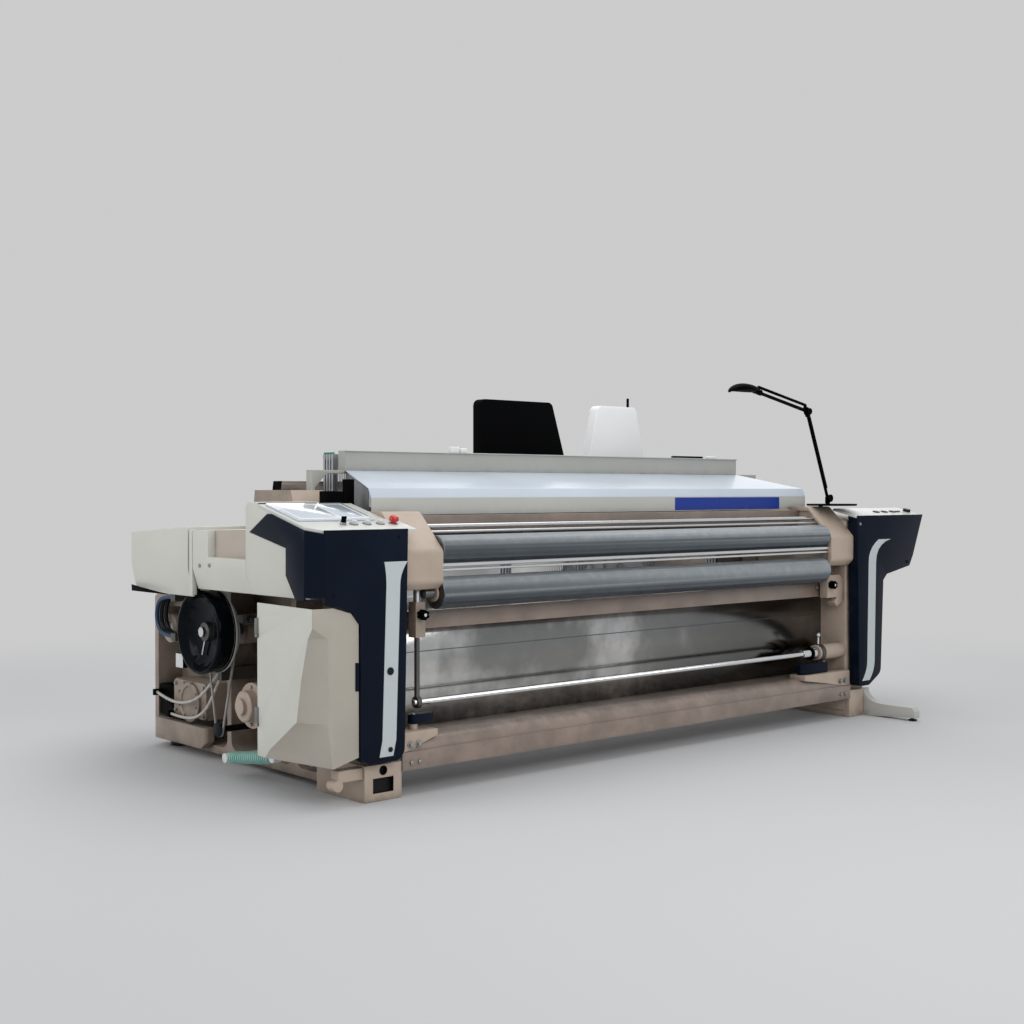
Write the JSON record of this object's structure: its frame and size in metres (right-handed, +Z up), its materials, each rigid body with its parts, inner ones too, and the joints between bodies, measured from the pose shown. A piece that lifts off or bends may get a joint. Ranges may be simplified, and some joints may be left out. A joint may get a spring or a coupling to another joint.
{
  "type": "power loom",
  "caption": "Wide power loom with a console at each front corner, cloth rollers, a splash plate, heald frames, a warp beam, a side drive and a desk lamp.",
  "frame": {"origin": "centre of the bounding box's footprint, on the floor", "axes": "+X along the machine's width to the weaver's right, +Y from the weaver towards the warp beam, +Z up"},
  "size_m": [4.027, 2.2979, 1.7376],
  "materials": {
    "beige_paint": "satin",
    "cream_paint": "satin",
    "navy_paint": "gloss",
    "grey_paint": "satin",
    "cover_silver": "satin",
    "blue_plate": "satin",
    "stainless": "brushed",
    "steel": "machined",
    "chrome": "polished",
    "roller_grey": "matt",
    "stripe_silver": "satin",
    "heald_alu": "satin",
    "cast_paint": "painted",
    "black_wheel": "gloss",
    "black_plastic": "matt",
    "dark_cover": "matt",
    "white_plastic": "gloss",
    "pale_button": "gloss",
    "red_plastic": "gloss",
    "green_hose": "matt",
    "clear_hose": "translucent",
    "blue_hose": "matt",
    "belt_rubber": "matt"
  },
  "bodies": {
    "machine": {"blank_plate": "blue_plate", "clear_hoses": "clear_hose", "console_left": "navy_paint", "console_right": "navy_paint", "console_stripes": "stripe_silver", "cross_members": "beige_paint", "deck_left": "cream_paint", "deck_right": "cream_paint", "drive_belt": "belt_rubber", "feet": "beige_paint", "front_cover": "cover_silver", "guide_bars": "chrome", "hood_dark": "dark_cover", "hood_pale": "white_plastic", "hose_bundle": "blue_hose", "hose_fittings": "white_plastic", "inner_supports": "beige_paint", "lamp_base": "steel", "let_off_gearbox": "cast_paint", "motor": "grey_paint", "outrigger_foot": "grey_paint", "panel_screws": "black_plastic", "pump_body": "cast_paint", "ribbed_hose": "green_hose", "roller_bracket_left": "beige_paint", "roller_bracket_right": "beige_paint", "roller_hangers": "steel", "screen_lid": "white_plastic", "side_covers": "cream_paint", "side_frame_left": "beige_paint", "side_frame_right": "beige_paint", "splash_plate": "stainless", "tall_cover": "cream_paint", "top_beam": "grey_paint", "valve_block": "black_plastic"},
    "drive": {"main_shaft": "black_wheel"},
    "motor_rotor": {"motor_pulley": "steel"},
    "take_up": {"take_up_roller": "roller_grey"},
    "press": {"press_roller": "roller_grey"},
    "cloth": {"cloth_roller": "chrome"},
    "warp": {"warp_beam": "steel"},
    "back_rest": {"back_rest_roller": "steel"},
    "sley_unit": {"sley": "cast_paint", "reed": "steel"},
    "healds_odd": {"heald_frames_odd": "heald_alu"},
    "healds_even": {"heald_frames_even": "heald_alu"},
    "door": {"door_left": "cream_paint"},
    "button_a": {"button_1": "pale_button"},
    "button_b": {"button_2": "pale_button"},
    "button_c": {"button_3": "pale_button"},
    "stop_button": {"emergency_stop": "red_plastic"},
    "key": {"key_switch": "chrome"},
    "knob_left": {"clamp_knob_left": "black_plastic"},
    "knob_right": {"clamp_knob_right": "black_plastic"},
    "lever": {"release_lever": "steel"},
    "handle_left": {"swing_handle_left": "navy_paint"},
    "handle_right": {"swing_handle_right": "navy_paint"},
    "lamp_lower": {"lamp_lower_arm": "black_plastic"},
    "lamp_upper": {"lamp_upper_arm": "black_plastic"},
    "lamp_shade": {"lamp_head": "black_plastic"}
  },
  "joints": [
    {"name": "main_spin", "type": "hinge", "parent": "machine", "child": "drive", "pos_m": [-0.0865, 0.114, 0.6], "axis": [1, 0, 0], "continuous": true},
    {"name": "motor_spin", "type": "hinge", "parent": "machine", "child": "motor_rotor", "pos_m": [-0.0865, 0.13, 0.172], "axis": [1, 0, 0], "continuous": true},
    {"name": "take_up_spin", "type": "hinge", "parent": "machine", "child": "take_up", "pos_m": [-0.0865, -0.796, 0.789], "axis": [1, 0, 0], "continuous": true},
    {"name": "press_spin", "type": "hinge", "parent": "machine", "child": "press", "pos_m": [-0.0865, -0.801, 0.965], "axis": [1, 0, 0], "continuous": true},
    {"name": "cloth_spin", "type": "hinge", "parent": "machine", "child": "cloth", "pos_m": [-0.0865, -0.776, 0.354], "axis": [1, 0, 0], "continuous": true},
    {"name": "warp_spin", "type": "hinge", "parent": "machine", "child": "warp", "pos_m": [-0.0865, 0.749, 0.56], "axis": [1, 0, 0], "continuous": true},
    {"name": "back_rest_spin", "type": "hinge", "parent": "machine", "child": "back_rest", "pos_m": [-0.0865, 0.506, 0.968], "axis": [1, 0, 0], "continuous": true},
    {"name": "sley_swing", "type": "hinge", "parent": "machine", "child": "sley_unit", "pos_m": [-0.0865, -0.216, 0.262], "axis": [1, 0, 0], "range_deg": [-9, 0]},
    {"name": "healds_odd_lift", "type": "slide", "parent": "machine", "child": "healds_odd", "axis": [0, 0, 1], "range_m": [-0.042, 0.042]},
    {"name": "healds_even_lift", "type": "slide", "parent": "machine", "child": "healds_even", "axis": [0, 0, 1], "range_m": [-0.042, 0.042]},
    {"name": "door_swing", "type": "hinge", "parent": "machine", "child": "door", "pos_m": [-1.9815, -0.442, 0.29], "axis": [0, 0, 1], "range_deg": [-100, 0]},
    {"name": "button_a_press", "type": "slide", "parent": "machine", "child": "button_a", "axis": [0, -0.2487, 0.9686], "range_m": [-0.004, 0], "stiffness_N_per_m": 600},
    {"name": "button_b_press", "type": "slide", "parent": "machine", "child": "button_b", "axis": [0, -0.2487, 0.9686], "range_m": [-0.004, 0], "stiffness_N_per_m": 600},
    {"name": "button_c_press", "type": "slide", "parent": "machine", "child": "button_c", "axis": [0, -0.2487, 0.9686], "range_m": [-0.004, 0], "stiffness_N_per_m": 600},
    {"name": "stop_press", "type": "slide", "parent": "machine", "child": "stop_button", "axis": [0, -0.2487, 0.9686], "range_m": [-0.004, 0], "stiffness_N_per_m": 1200},
    {"name": "key_turn", "type": "hinge", "parent": "machine", "child": "key", "pos_m": [-1.8185, -0.796, 1.07254], "axis": [0, -0.2487, 0.9686], "range_deg": [-90, 0]},
    {"name": "knob_left_turn", "type": "hinge", "parent": "machine", "child": "knob_left", "pos_m": [-1.4485, -0.776, 0.707], "axis": [0, 1, 0], "continuous": true},
    {"name": "knob_right_turn", "type": "hinge", "parent": "machine", "child": "knob_right", "pos_m": [1.2755, -0.776, 0.707], "axis": [0, 1, 0], "continuous": true},
    {"name": "lever_turn", "type": "hinge", "parent": "machine", "child": "lever", "pos_m": [1.2035, -0.776, 0.354], "axis": [1, 0, 0], "range_deg": [-50, 50]},
    {"name": "handle_left_swing", "type": "hinge", "parent": "machine", "child": "handle_left", "pos_m": [-1.4765, -0.787, 0.292], "axis": [0, 0, 1], "range_deg": [-60, 0]},
    {"name": "handle_right_swing", "type": "hinge", "parent": "machine", "child": "handle_right", "pos_m": [1.2355, -0.787, 0.279], "axis": [0, 0, 1], "range_deg": [0, 60]},
    {"name": "lamp_base_tilt", "type": "hinge", "parent": "machine", "child": "lamp_lower", "pos_m": [1.3375, -0.736, 1.162], "axis": [0, 1, 0], "range_deg": [-15, 35]},
    {"name": "lamp_elbow_tilt", "type": "hinge", "parent": "lamp_lower", "child": "lamp_upper", "pos_m": [1.1545, -0.736, 1.616], "axis": [0, 1, 0], "range_deg": [-25, 45]},
    {"name": "lamp_head_tilt", "type": "hinge", "parent": "lamp_upper", "child": "lamp_shade", "pos_m": [0.7505, -0.736, 1.697], "axis": [0, 1, 0], "range_deg": [-40, 40]}
  ],
  "couplings": [
    {"joint": "motor_spin", "follows": "main_spin", "ratio": 4.2812},
    {"joint": "press_spin", "follows": "take_up_spin", "ratio": -1.1404},
    {"joint": "healds_even_lift", "follows": "healds_odd_lift", "ratio": -1}
  ]
}
